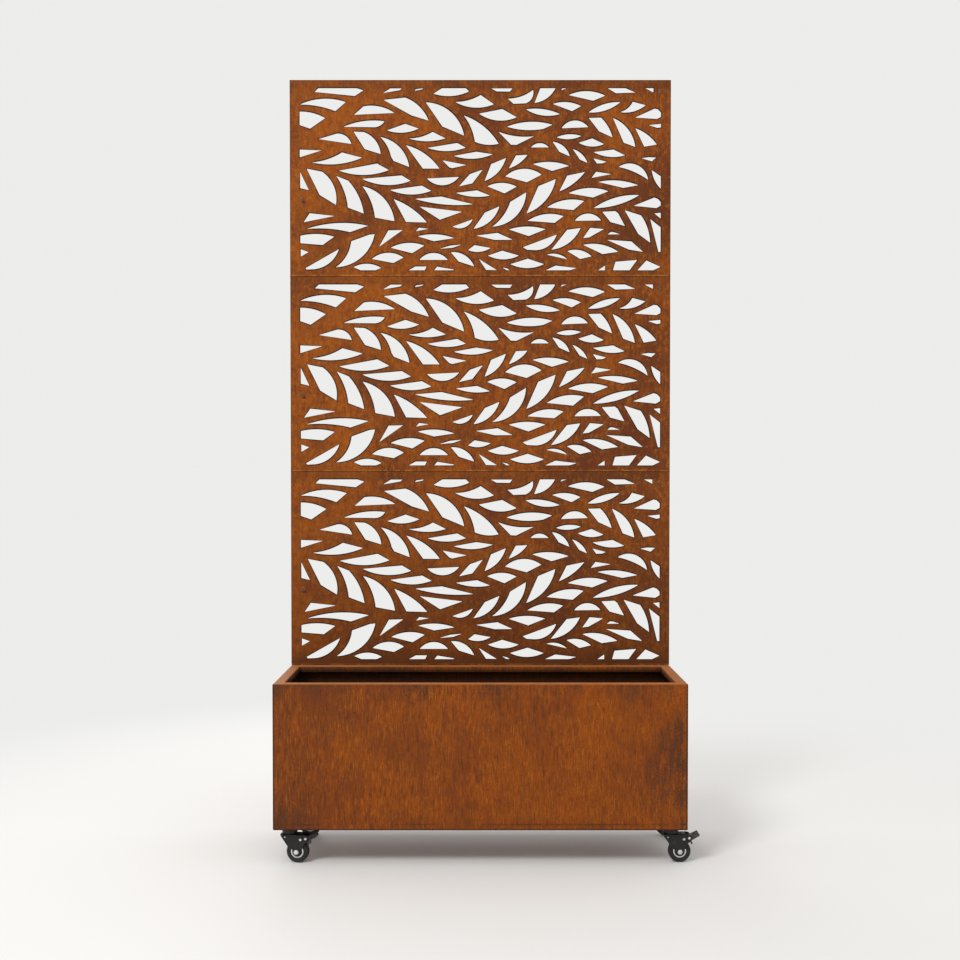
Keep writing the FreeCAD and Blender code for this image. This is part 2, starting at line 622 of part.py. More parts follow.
def screen_panel(label, level, notched_ends):
    """One panel: a pan with rounded folds, cut through leaf by leaf. Its folded lower and upper
    edges are notched where the uprights pass."""
    foot = f"({RIM_TOP} + {level} * sizes.screen_height)"
    seams = {"foot": foot, "head": f"({foot} + sizes.screen_height)"}
    sheet, front = "sizes.screen_sheet", value("planter_depth") / 2 - value("screen_sheet")
    blank = block(
        f"{label}_blank",
        ("sizes.planter_width", "sizes.screen_depth", "sizes.screen_height"),
        (f"-{HALF_WIDTH}", SCREEN_FACE, foot),
    )
    outside = rounded(
        f"{label}_outside", blank, value("screen_bend"), lambda edge: touches(edge, y=front)
    )
    hollow = block(
        f"{label}_hollow",
        (
            f"sizes.planter_width - 2 * {sheet}",
            "sizes.screen_depth + sizes.overrun",
            f"sizes.screen_height - 2 * {sheet}",
        ),
        (f"-{HALF_WIDTH} + {sheet}", HALF_DEPTH, f"{foot} + {sheet}"),
    )
    inside = rounded(
        f"{label}_inside",
        hollow,
        value("screen_bend") - value("screen_sheet"),
        lambda edge: touches(edge, y=front + value("screen_sheet")),
    )
    pan = cut(f"{label}_pan", outside, [inside])
    leaves = doc.addObject("Part::Feature", f"{label}_leaves")
    leaves.Shape = LEAF_BARS
    place(leaves, "0", f"{SCREEN_FACE} - sizes.overrun", foot)
    openings = [leaves]
    for end in notched_ends:
        for side, across in UPRIGHT_SIDES:
            openings.append(upright_notch(f"{label}_{end}", side, across, seams[end]))
    return node(cut(label, pan, openings))


screen_panel("screen_bottom", 0, ("foot", "head"))
screen_panel("screen_middle", 1, ("foot", "head"))
screen_panel("screen_top", 2, ("foot",))

CROWN_UNDER = "(sizes.fork_top - sizes.crown_sheet)"


def caster_stem(name, across, along, turn):
    """The swivel stem of one caster: a riveted head under the fork's crown and a bolt end that
    passes up through the planter's floor."""
    foot = f"({CROWN_UNDER} - sizes.swivel_gap - sizes.stem_head)"
    head = rod(f"{name}_stem_head", "sizes.stem_head_radius", "sizes.stem_head", (across, along, foot))
    tall = f"{FLOOR_TOP} + sizes.stem_rise - {foot}"
    shank = rod(f"{name}_stem_shank", "sizes.stem_radius", tall, (across, along, foot))
    return fuse(f"{name}_stem", [head, shank])


def stem_nut(name, across, along, turn):
    """The nut that clamps one stem to the planter's floor."""
    nut = hexagon(f"{name}_stem_hex", "sizes.stem_hex_radius", "sizes.stem_nut", (across, along, FLOOR_TOP))
    bore = rod(
        f"{name}_stem_bore",
        "sizes.stem_radius + sizes.stem_play",
        "sizes.stem_nut + 2 * sizes.overrun",
        (across, along, f"{FLOOR_TOP} - sizes.overrun"),
    )
    return cut(f"{name}_stem_nut", nut, [bore])


def swivel_race(name, across, along, turn):
    """The closed ball race of one caster: a dished cap under the planter's floor, with its ring
    of balls just clear of the fork's crown."""
    body, planes = new_body(f"{name}_swivel_race")
    profile = sketch_on(body, planes["XZ_Plane"], f"{name}_race_profile")
    bore, rim = "sizes.stem_radius + sizes.stem_play", "sizes.race_radius"
    shoulder = f"{FLOOR_BOTTOM} - sizes.race_slope"
    balls = "sizes.fork_top + sizes.swivel_gap"
    outline(
        profile,
        (
            (bore, FLOOR_BOTTOM),
            ("sizes.race_top_radius", FLOOR_BOTTOM),
            (rim, shoulder),
            (rim, f"{shoulder} - sizes.race_skirt"),
            ("sizes.ball_ring_radius", balls),
            (bore, balls),
        ),
    )
    turned(body, profile, f"{name}_race_turned")
    return place(body, across, along)


node(group("caster_stems", [caster_stem(*caster) for caster in CASTERS]))
node(group("stem_nuts", [stem_nut(*caster) for caster in CASTERS]))
node(group("swivel_races", [swivel_race(*caster) for caster in CASTERS]))


def seat(item, across, along, turn):
    """Set a caster's own piece on its swivel axis, at its rest turn."""
    item.Placement.Rotation = FreeCAD.Rotation(FreeCAD.Vector(0, 0, 1), turn)
    return node(place(item, across, along))


# Pieces that turn with a caster are drawn on the swivel axis, with the trail along +X
FORK_WIDTH = "(sizes.fork_gap + 2 * sizes.fork_sheet)"
AXLE_SPOT = ("sizes.trail", "sizes.wheel_radius")
PIN_SPOT = ("sizes.pedal_reach", "sizes.pedal_height")


def fork(name, across, along, turn):
    """A caster's fork: a bent plate with a crown, two legs that sweep back to round bosses at the
    axle, and two ears that carry the pedal's pin."""
    label = f"{name}_fork"
    body, planes = new_body(label)
    side = planes["XZ_Plane"]
    plate = sketch_on(body, side, f"{label}_plate_outline")
    outline(
        plate,
        (
            ("-sizes.crown_front", "sizes.fork_top"),
            ("-sizes.crown_front", "sizes.leg_shoulder"),
            ("sizes.leg_front", "sizes.leg_foot"),
            ("sizes.leg_back", "sizes.leg_foot"),
            ("sizes.knee_reach", "sizes.knee_height"),
            ("sizes.ear_reach", "sizes.ear_low"),
            ("sizes.ear_reach", "sizes.ear_high"),
            ("sizes.knee_reach", "sizes.fork_top"),
        ),
    )
    extruded("Pad", body, plate, FORK_WIDTH, f"{label}_plate")
    boss = sketch_on(body, side, f"{label}_boss_outline")
    circle(boss, "sizes.boss_radius", *AXLE_SPOT)
    bossed = extruded("Pad", body, boss, FORK_WIDTH, f"{label}_boss")
    ear = value("ear_reach")
    eared = round_edges(
        body,
        bossed,
        "sizes.ear_round",
        lambda edge: touches(edge, x=ear) and runs_along(edge, "y"),
        f"{label}_ears",
    )
    top, half = value("fork_top"), value("fork_gap") / 2 + value("fork_sheet")
    round_edges(
        body,
        eared,
        "sizes.crown_bend",
        lambda edge: touches(edge, y=half, z=top) or touches(edge, y=-half, z=top),
        f"{label}_bends",
    )
    slot = sketch_on(body, side, f"{label}_slot_outline")
    front, back = "-sizes.crown_front - sizes.overrun", "sizes.ear_reach + sizes.overrun"
    outline(
        slot,
        (
            (front, "0"),
            (back, "0"),
            (back, "sizes.fork_top + sizes.overrun"),
            ("sizes.crown_back", "sizes.fork_top + sizes.overrun"),
            ("sizes.crown_back", CROWN_UNDER),
            (front, CROWN_UNDER),
        ),
    )
    extruded("Pocket", body, slot, "sizes.fork_gap", f"{label}_slot")
    bore = sketch_on(body, side, f"{label}_axle_hole")
    circle(bore, "sizes.axle_radius + sizes.axle_play", *AXLE_SPOT)
    extruded("Pocket", body, bore, f"{FORK_WIDTH} + 2 * sizes.overrun", f"{label}_axle_bore")
    king = sketch_on(body, planes["XY_Plane"], f"{label}_stem_hole")
    circle(king, "sizes.stem_radius + sizes.stem_play", "0", "0")
    extruded("Pocket", body, king, "2 * (sizes.fork_top + sizes.overrun)", f"{label}_stem_bore")
    pin = sketch_on(body, side, f"{label}_pin_outline")
    circle(pin, "sizes.pin_radius", *PIN_SPOT)
    extruded("Pad", body, pin, FORK_WIDTH, f"{label}_pin")
    return seat(body, across, along, turn)


def axle(name, across, along, turn):
    """A caster's axle: a bolt clamped through both legs, with its six-sided head and nut."""
    half = f"{FORK_WIDTH} / 2"
    start = (AXLE_SPOT[0], f"-{half} - sizes.axle_head", AXLE_SPOT[1])
    end = (AXLE_SPOT[0], half, AXLE_SPOT[1])
    head = hexagon(f"{name}_axle_head", "sizes.axle_hex_radius", "sizes.axle_head", start, "y")
    nut = hexagon(f"{name}_axle_nut", "sizes.axle_hex_radius", "sizes.axle_head", end, "y")
    shank = rod(
        f"{name}_axle_shank", "sizes.axle_radius", f"{FORK_WIDTH} + 2 * sizes.axle_head", start, "y"
    )
    return seat(fuse(f"{name}_axle", [head, shank, nut]), across, along, turn)


def wheel(name, across, along, turn):
    """A caster's wheel: a rubber tyre with bevelled shoulders, moulded on a core that runs on
    the axle."""
    label = f"{name}_wheel"
    body, planes = new_body(label)
    profile = sketch_on(body, planes["XY_Plane"], f"{label}_profile")
    profile.setExpression("AttachmentOffset.Base.x", AXLE_SPOT[0])
    profile.setExpression("AttachmentOffset.Base.z", AXLE_SPOT[1])
    bore, rim, half = "sizes.axle_radius + sizes.axle_play", "sizes.wheel_radius", "sizes.wheel_width / 2"
    outline(
        profile,
        (
            (bore, f"-{half}"),
            (f"{rim} - sizes.shoulder_drop", f"-{half}"),
            (rim, f"-{half} + sizes.shoulder_width"),
            (rim, f"{half} - sizes.shoulder_width"),
            (f"{rim} - sizes.shoulder_drop", half),
            (bore, half),
        ),
    )
    turned(body, profile, f"{label}_turned")
    return seat(body, across, along, turn)


def brake_pedal(name, across, along, turn):
    """A caster's brake pedal: a barrel on the fork's pin, a foot pad that is pressed down to lock
    the wheel, and a tab below that comes down on the tyre."""
    label = f"{name}_brake_pedal"
    body, planes = new_body(label)
    lever = sketch_on(body, planes["XZ_Plane"], f"{label}_outline")
    barrel, thick = "sizes.barrel_radius", "sizes.pedal_sheet"
    pad_reach, pad_rise = "sizes.pad_reach", "sizes.pad_rise"
    tab_reach, tab_drop = "sizes.tab_reach", "sizes.tab_drop"
    around_pin = (
        (f"-{barrel}", "0"),
        (f"-{barrel} / 2", f"{barrel} - {thick} / 3"),
        (f"{pad_reach} / 3", f"{barrel} + {thick} / 3"),
        (f"{pad_reach} - 2 * {thick}", f"{pad_rise} - {thick} / 2"),
        (f"{pad_reach} - 3 * {thick} / 2", pad_rise),
        (pad_reach, f"{pad_rise} - 2 * {thick}"),
        (f"{pad_reach} - {thick} / 3", f"{pad_rise} - 3 * {thick}"),
        (f"2 * {pad_reach} / 3", "0"),
        (barrel, f"-2 * {thick}"),
        (tab_reach, f"-{tab_drop} + {thick} / 2"),
        (f"{tab_reach} - {thick}", f"-{tab_drop}"),
        ("0", f"-{barrel}"),
        (f"-{barrel} / 2", f"-{barrel} + {thick} / 3"),
    )
    outline(lever, [(f"{PIN_SPOT[0]} + {reach}", f"{PIN_SPOT[1]} + {rise}") for reach, rise in around_pin])
    extruded("Pad", body, lever, "sizes.pedal_width", f"{label}_plate")
    bore = sketch_on(body, planes["XZ_Plane"], f"{label}_pin_hole")
    circle(bore, "sizes.pin_radius + sizes.pin_play", *PIN_SPOT)
    extruded("Pocket", body, bore, "sizes.pedal_width + 2 * sizes.overrun", f"{label}_pin_bore")
    return seat(body, across, along, turn)


for caster in CASTERS:
    fork(*caster)
    axle(*caster)
    wheel(*caster)
    brake_pedal(*caster)

doc.recompute()

# Every object has to be whole before anything is written
for item in doc.Objects:
    if {"Invalid", "Error"} & set(item.State):
        raise RuntimeError(f"{item.Label} failed: {item.State}")
for item in nodes:
    if item.Shape.isNull() or not item.Shape.Solids or not item.Shape.isValid():
        raise RuntimeError(f"{item.Label} has no valid shape")

os.makedirs("parts", exist_ok=True)
for item in nodes:
    item.Shape.exportStep(f"parts/{item.Label}.step")
print(f"wrote {len(nodes)} parts")
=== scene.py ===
import math

import bmesh
import bpy
from mathutils import Matrix, Vector


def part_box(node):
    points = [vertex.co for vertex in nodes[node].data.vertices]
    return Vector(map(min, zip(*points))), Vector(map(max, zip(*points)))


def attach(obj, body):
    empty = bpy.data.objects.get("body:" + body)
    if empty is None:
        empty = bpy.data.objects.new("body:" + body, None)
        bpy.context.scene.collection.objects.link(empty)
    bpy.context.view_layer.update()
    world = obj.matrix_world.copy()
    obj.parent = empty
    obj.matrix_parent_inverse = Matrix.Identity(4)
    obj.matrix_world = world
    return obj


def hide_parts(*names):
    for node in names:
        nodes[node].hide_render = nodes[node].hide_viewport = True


# The whole part comes in as solids: a planter on four braked casters, with a leaf-cut screen
# standing at its back. Each section below finishes one piece, or one group of like pieces.
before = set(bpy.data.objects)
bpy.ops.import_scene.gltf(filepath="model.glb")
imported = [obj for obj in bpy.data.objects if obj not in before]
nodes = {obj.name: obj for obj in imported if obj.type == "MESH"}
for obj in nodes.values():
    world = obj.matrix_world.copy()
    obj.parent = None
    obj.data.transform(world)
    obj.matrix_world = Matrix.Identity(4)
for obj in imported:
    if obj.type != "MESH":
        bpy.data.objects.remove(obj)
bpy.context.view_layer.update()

# The planter's four walls are folded from 2 mm weathering steel and welded at the mitred corners.
# The steel stays bare: it rusts to a dense orange-brown skin, with run marks where rain has drained
# down the sheet, and darker, damper patches towards the corners and the foot.


class Wire:
    """One value in a node tree. Sums and products of wires add their own Math nodes."""

    def __init__(self, tree, socket=None):
        self.tree = tree
        self.socket = socket

    def add(self, kind, settings=None, inputs=None, output=0):
        """A node of that kind: its settings first, then the values or links of its sockets."""
        node = self.tree.nodes.new(kind)
        for name, setting in (settings or {}).items():
            setattr(node, name, setting)
        for name, entry in (inputs or {}).items():
            if isinstance(entry, Wire):
                self.tree.links.new(entry.socket, node.inputs[name])
            else:
                node.inputs[name].default_value = entry
        return Wire(self.tree, node.outputs[output])

    def also(self, output):
        """Another output of the node that this wire comes from."""
        return Wire(self.tree, self.socket.node.outputs[output])

    def maths(self, operation, first, second):
        return self.add("ShaderNodeMath", {"operation": operation}, {0: first, 1: second})

    def __add__(self, other):
        return self.maths("ADD", self, other)

    def __radd__(self, other):
        return self.maths("ADD", other, self)

    def __sub__(self, other):
        return self.maths("SUBTRACT", self, other)

    def __rsub__(self, other):
        return self.maths("SUBTRACT", other, self)

    def __mul__(self, other):
        return self.maths("MULTIPLY", self, other)

    def absolute(self):
        return self.maths("ABSOLUTE", self, 0)

    def step(self, low, high):
        """A soft step, 0 up to the low value and 1 from the high one."""
        ends = {"Value": self, "From Min": low, "From Max": high}
        return self.add("ShaderNodeMapRange", {"interpolation_type": "SMOOTHSTEP"}, ends)

    def blend(self, first, second):
        """The first colour where this is 0, the second where it is 1."""
        ends = {0: self, 6: first, 7: second}
        return self.add("ShaderNodeMix", {"data_type": "RGBA"}, ends, 2)


def start_finish(name, fixed):
    """A new finish, with the values that are the same all over it, and the place on the piece."""
    material = bpy.data.materials.new(name)
    material.use_nodes = True
    shader = material.node_tree.nodes["Principled BSDF"]
    for socket, entry in fixed.items():
        shader.inputs[socket].default_value = entry
    return material, Wire(material.node_tree).add("ShaderNodeTexCoord", output="Object")


def end_finish(material, colour, rough, relief, depth):
    """Colour, roughness and relief of a finish go to its shader."""
    tree = material.node_tree
    shader = tree.nodes["Principled BSDF"]
    bump = relief.add("ShaderNodeBump", {}, {"Strength": 1.0, "Distance": depth, "Height": relief})
    for socket, wire in (("Base Color", colour), ("Roughness", rough), ("Normal", bump)):
        tree.links.new(wire.socket, shader.inputs[socket])
    return material


def clouds(place, stretch, scale, detail=4.0, roughness=0.55):
    """Noise over a piece, drawn out along each axis whose stretch is below one."""
    drawn = place.add("ShaderNodeVectorMath", {"operation": "MULTIPLY"}, {0: place, 1: stretch})
    inputs = {"Vector": drawn, "Scale": scale, "Detail": detail, "Roughness": roughness}
    return place.add("ShaderNodeTexNoise", {}, inputs)


def axis_of(place, letter):
    return place.add("ShaderNodeSeparateXYZ", {}, {0: place}, letter)


def spots(place, list_of_spots):
    """Soft round patches: each has a middle and a reach."""
    total = 0
    for middle, reach in list_of_spots:
        ends = {0: place, 1: middle}
        gap = place.add("ShaderNodeVectorMath", {"operation": "DISTANCE"}, ends, "Value")
        total = total + (1 - gap.step(0.0, reach))
    return total


def rust(place, tones, run, lean):
    """The colour of the rust and its grain: mottled, with run marks down the sheet; a lean above
    zero makes it more orange towards the left."""
    brown, orange, ochre = tones
    dark = tuple(0.4 * part for part in brown[:3]) + (1,)
    mottle = clouds(place, (1, 1, 0.7), 7.0, 6.0, 0.62)
    blotch = clouds(place, (1, 1, 0.6), 75.0, 4.0, 0.7)
    strokes = clouds(place, (1, 1, 0.12), 290.0, 4.0, 0.7)
    runs = clouds(place, (1, 1, 0.15), 120.0, 5.0, 0.7)
    threads = clouds(place, (1, 1, 0.10), 380.0, 4.0, 0.7)
    grain = clouds(place, (1, 1, 0.7), 330.0, 4.0, 0.75)
    warmth = mottle * (1 - run) + runs * run + grain * 0.55 + blotch * 0.4 - axis_of(place, "X") * lean
    colour = warmth.step(0.83, 1.09).blend(brown, orange)
    colour = (strokes.step(0.53, 0.67) * run * 1.4).blend(colour, dark)
    bright = threads.step(0.48, 0.68) * (0.3 + run) * mottle.step(0.3, 0.55)
    return bright.blend(colour, ochre), grain, threads


def planter_steel():
    brown, orange, ochre = (0.140, 0.033, 0.006, 1), (0.248, 0.054, 0.002, 1), (0.38, 0.115, 0.009, 1)
    # The last tone in the next row is the colour of a painted highlight on the rim's top face.
    damp, pits, pale_tone = (0.085, 0.028, 0.010, 1), (0.080, 0.018, 0.003, 1), (0.44, 0.187, 0.065, 1)
    # Of the next two tones, the first is painted shade for the inside of the walls and the second is
    # painted shade for the folded corners and the foot.
    painted_interior_shade, edge = (0.016, 0.005, 0.002, 1), (0.040, 0.011, 0.003, 1)
    half, wall, rim, sole = 0.457, 0.1525, 0.4035, 0.0795
    skin, under_skin = 0.0007, 0.0011
    patches = (
        ((-0.420, -0.153, 0.115), 0.090),
        ((0.410, -0.153, 0.190), 0.130),
        ((0.450, -0.153, 0.270), 0.100),
        ((0.020, -0.153, 0.400), 0.080),
        ((-0.130, -0.153, 0.395), 0.070),
        ((-0.290, -0.153, 0.330), 0.060),
    )
    material, place = start_finish("planter_rust", {"Specular IOR Level": 0.15})
    colour, grain, threads = rust(place, (brown, orange, ochre), 0.45, -0.12)
    wide = clouds(place, (1, 1, 0.7), 5.0, 8.0, 0.72)
    across, depth = axis_of(place, "X").absolute(), axis_of(place, "Y").absolute()
    height = axis_of(place, "Z")
    side = across.step(half - 0.07, half) * depth.step(wall - 0.07, wall)
    foot = 1 - height.step(sole + 0.004, sole + 0.039)
    head = height.step(rim - 0.05, rim - 0.004) * (1 - height.step(rim - 0.003, rim - 0.0015))
    wet = spots(place, patches) * 0.7 + side * 0.3 + foot * 0.35 + head * 0.75 + 0.25
    veil = clouds(place, (1, 1, 0.15), 110.0, 5.0, 0.7)
    wet = wet * (wide * 0.6 + veil * 0.5 + grain * 0.35).step(0.58, 0.88)
    colour = wet.step(0.0, 1.05).blend(colour, damp)
    colour = (grain.step(0.52, 0.68) * 0.65).blend(colour, pits)
    # Painted shade: the inner faces of the walls, below the rim, are darkened nearly to black, as if the
    # planter's own walls kept the light out.
    interior_shade_mask = 1 - depth.step(wall - under_skin, wall - skin)
    interior_shade_mask = interior_shade_mask * (1 - across.step(half - under_skin, half - skin))
    interior_shade_mask = interior_shade_mask * (1 - height.step(rim - 0.012, rim - 0.004))
    colour = (interior_shade_mask * 0.8).blend(colour, painted_interior_shade)
    # Painted shade: a dark line down the planter's folded corners, where the bends turn away from the
    # light, and along the bottom few millimetres of the walls.
    ends = across.step(half - 0.0045, half - 0.0015) * depth.step(wall - 0.0045, wall - 0.0015)
    colour = ((ends + 1 - height.step(sole + 0.0012, sole + 0.0050)) * 0.8).blend(colour, edge)
    crease = (height - (sole + 0.013)).absolute()
    colour = ((1 - crease.step(0.0008, 0.0030)) * wide.step(0.45, 0.6) * 0.6).blend(colour, pits)
    # Painted highlight: the top face of the rim is lightened towards a pale tan, as light from above would
    # light it, patchy with noise.
    painted_rim_highlight = 0.4 + wide.step(0.35, 0.7) * 0.3 + grain.step(0.4, 0.65) * 0.12
    colour = (height.step(rim - 0.0016, rim - 0.0004) * painted_rim_highlight).blend(colour, pale_tone)
    rough = 0.6 + grain * 0.3
    return end_finish(material, colour, rough, grain * 0.7 + threads * 0.5, 0.0006)


def dress(name, finish):
    """One of the solids takes a finish all over."""
    nodes[name].data.materials.clear()
    nodes[name].data.materials.append(finish)


steel = planter_steel()
for name in ("planter_front", "planter_back", "planter_left", "planter_right"):
    dress(name, steel)

# The planter's floor is a loose sheet on the walls' returns, with drain holes. It is the same
# steel, but it lies wet for longer, so its rust is darker and blotched.


def floor_steel():
    brown, orange, ochre = (0.13, 0.040, 0.012, 1), (0.20, 0.058, 0.011, 1), (0.26, 0.10, 0.022, 1)
    pits = (0.05, 0.018, 0.008, 1)
    material, place = start_finish("floor_rust", {"Specular IOR Level": 0.3})
    colour, grain = rust(place, (brown, orange, ochre), 0.2, 0)[:2]
    pools = clouds(place, (1, 1, 1), 9.0, 5.0, 0.6).step(0.5, 0.7)
    colour = (pools * 0.7 + grain.step(0.55, 0.75) * 0.3).blend(colour, pits)
    return end_finish(material, colour, 0.65 + grain * 0.25, grain, 0.0006)


dress("planter_floor", floor_steel())

# Two uprights of 20 mm square tube carry the screen. They are weathering steel too, drawn with a
# faint grain along the tube; a black plastic plug closes each lower end.


def tube_steel():
    brown, orange, ochre = (0.130, 0.032, 0.006, 1), (0.235, 0.054, 0.003, 1), (0.34, 0.105, 0.009, 1)
    pits = (0.070, 0.018, 0.004, 1)
    material, place = start_finish("tube_rust", {"Specular IOR Level": 0.15})
    colour, grain, threads = rust(place, (brown, orange, ochre), 0.5, 0)
    colour = (grain.step(0.5, 0.72) * 0.6).blend(colour, pits)
    return end_finish(material, colour, 0.6 + grain * 0.3, grain + threads, 0.0004)


def moulded(name, base, worn, grip):
    """Moulded black plastic: a fine spark-eroded grain, and a dull bloom where it is handled."""
    material, place = start_finish(name, {"Specular IOR Level": 0.45})
    grain = clouds(place, (1, 1, 1), 1400.0, 2.0, 0.5)
    bloom = clouds(place, (1, 1, 1), 60.0, 4.0, 0.6)
    colour = (bloom.step(0.45, 0.8) * 0.6 + grain * 0.15).blend(base, worn)
    return end_finish(material, colour, grip + bloom * 0.2, grain, 0.00012)


tube = tube_steel()
plug_plastic = moulded("plug_plastic", (0.012, 0.012, 0.012, 1), (0.045, 0.044, 0.042, 1), 0.45)
for side in ("left", "right"):
    dress(f"{side}_upright", tube)
    dress(f"{side}_upright_plug", plug_plastic)

# The screen is three shallow pans of 1.5 mm weathering steel, folded back on all four sides. The
# leaves are cut by laser, and the heat leaves a dark brown line along every cut edge.


def screen_steel():
    brown, orange, ochre = (0.112, 0.027, 0.006, 1), (0.240, 0.057, 0.003, 1), (0.34, 0.105, 0.009, 1)
    # In the next row, the second tone serves both as heat tint on the cut edges and as painted shade on
    # the folded edges; the third is a painted highlight along the seams.
    damp, heat_tint_and_edge_shade, seam_bend_highlight = (0.085, 0.025, 0.006, 1), (0.019, 0.0065, 0.0028, 1), (0.58, 0.24, 0.06, 1)
    sill, panel, front, half = 0.4035, 0.4685, 0.151, 0.457
    crown = sill + 3 * panel
    material, place = start_finish("screen_rust", {"Specular IOR Level": 0.15})
    colour, grain, threads = rust(place, (brown, orange, ochre), 0.2, 0.16)
    fleck = clouds(place, (1, 1, 0.8), 110.0, 4.0, 0.65)
    colour = (fleck.step(0.53, 0.66) * 0.6).blend(colour, brown)
    colour = ((1 - fleck.step(0.34, 0.47)) * 0.5).blend(colour, ochre)
    wide = clouds(place, (1, 1, 0.9), 6.5, 7.0, 0.7)
    colour = (wide.step(0.48, 0.72) * 0.6).blend(colour, damp)
    colour = (grain.step(0.52, 0.75) * 0.45).blend(colour, damp)
    height = axis_of(place, "Z")
    rise = height.maths("MODULO", height - sill, panel)
    upper = rise.step(panel - 0.034, panel - 0.012)
    lowest = 1 - height.step(sill + 0.004, sill + 0.05)
    lower = 1 - height.step(sill + 0.1, sill + panel + 0.1)
    # Darker towards the top margin of each panel, at the foot of the screen, and over the bottom panel,
    # fading upwards.
    colour = (upper * 0.3 + lowest * 0.6 + lower * 0.25).blend(colour, damp)
    # Painted highlight: a pale line along the foot of each panel's front face, where the rounded bend over
    # each seam would catch the light; a noise mask breaks it up.
    worn = clouds(place, (1, 1, 0.3), 45.0, 4.0, 0.7).step(0.4, 0.62)
    seen = 1 - axis_of(place, "Y").step(front + 0.001, front + 0.0025)
    colour = ((1 - rise.step(0.0010, 0.0036)) * (0.25 + worn * 0.7) * seen).blend(colour, seam_bend_highlight)
    # Painted shade: a dark line along the folded left and right edges of each panel's front face and along
    # the screen's top edge, where the bends turn away from the light.
    ends = axis_of(place, "X").absolute().step(half - 0.0035, half - 0.0002)
    top_edge_shade = height.step(crown - 0.0035, crown - 0.0005)
    colour = ((ends + top_edge_shade) * seen * 0.6).step(0.0, 1.0).blend(colour, heat_tint_and_edge_shade)
    heat = place.add("ShaderNodeAttribute", {"attribute_name": "cut_heat"}, {}, "Fac")
    colour = (heat.step(0.0, 0.2) * 0.95).blend(colour, heat_tint_and_edge_shade)
    return end_finish(material, colour, 0.58 + grain * 0.3, grain * 0.7 + threads * 0.4, 0.0005)


def heat_marked(name, line):
    """A copy of a pan whose face has a line of narrow faces along every cut, marked with heat."""
    shell = bmesh.new()
    shell.from_mesh(nodes[name].data)
    bmesh.ops.remove_doubles(shell, verts=shell.verts, dist=1e-6)
    shell.normal_update()
    heat = shell.verts.layers.float.new("cut_heat")
    low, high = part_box(name)
    front, touch = low.y, 1e-5
    skin = [face for face in shell.faces if face.normal.y < -0.02]
    flat = {face for face in skin if face.normal.y < -0.999}
    for face in shell.faces:
        if abs(face.normal.y) < 0.3 and min(vert.co.y for vert in face.verts) < front + touch:
            for vert in face.verts:
                vert[heat] = float(vert.co.y < front + touch)
        middle = face.calc_center_median()
        outside = min(middle.x - low.x, high.x - middle.x, middle.z - low.z, high.z - middle.z)
        if abs(face.normal.y) < 0.02 and outside < touch:
            skin.append(face)
    bmesh.ops.inset_region(
        shell, faces=skin, thickness=line, depth=0, use_boundary=True, use_even_offset=False
    )
    for vert in {vert for face in skin for vert in face.verts}:
        vert[heat] = 0.0
    for vert in shell.verts:
        vert.co = [min(max(part, least), most) for part, least, most in zip(vert.co, low, high)]
    sides = {edge: sum(face in flat for face in edge.link_faces) for face in flat for edge in face.edges}
    bmesh.ops.delete(shell, geom=list(flat), context="FACES_ONLY")
    inner = [edge for edge, count in sides.items() if count == 2]
    bmesh.ops.delete(shell, geom=inner, context="EDGES")
    rest = [edge for edge, count in sides.items() if count == 1]
    bmesh.ops.triangle_fill(shell, edges=rest, use_beauty=True, normal=(0, -1, 0))
    mesh = bpy.data.meshes.new(f"{name}_pan")
    shell.to_mesh(mesh)
    shell.free()
    mesh.attributes.remove(mesh.attributes["custom_normal"])
    mesh.polygons.foreach_set("use_smooth", [True] * len(mesh.polygons))
    mesh.set_sharp_from_angle(angle=math.radians(30))
    pan = bpy.data.objects.new(f"{name}_pan", mesh)
    bpy.context.scene.collection.objects.link(pan)
    return pan


cut_steel, heat_line = screen_steel(), 0.0030
for name in ("screen_bottom", "screen_middle", "screen_top"):
    pan = heat_marked(name, heat_line)
    pan.data.materials.append(cut_steel)
    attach(pan, "planter")
    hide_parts(name)

# Each panel is held by two button-head screws, one at the left and one at the top right. Behind the
# sheet each screw passes a flat tab that is welded to the upright, and takes a nut.


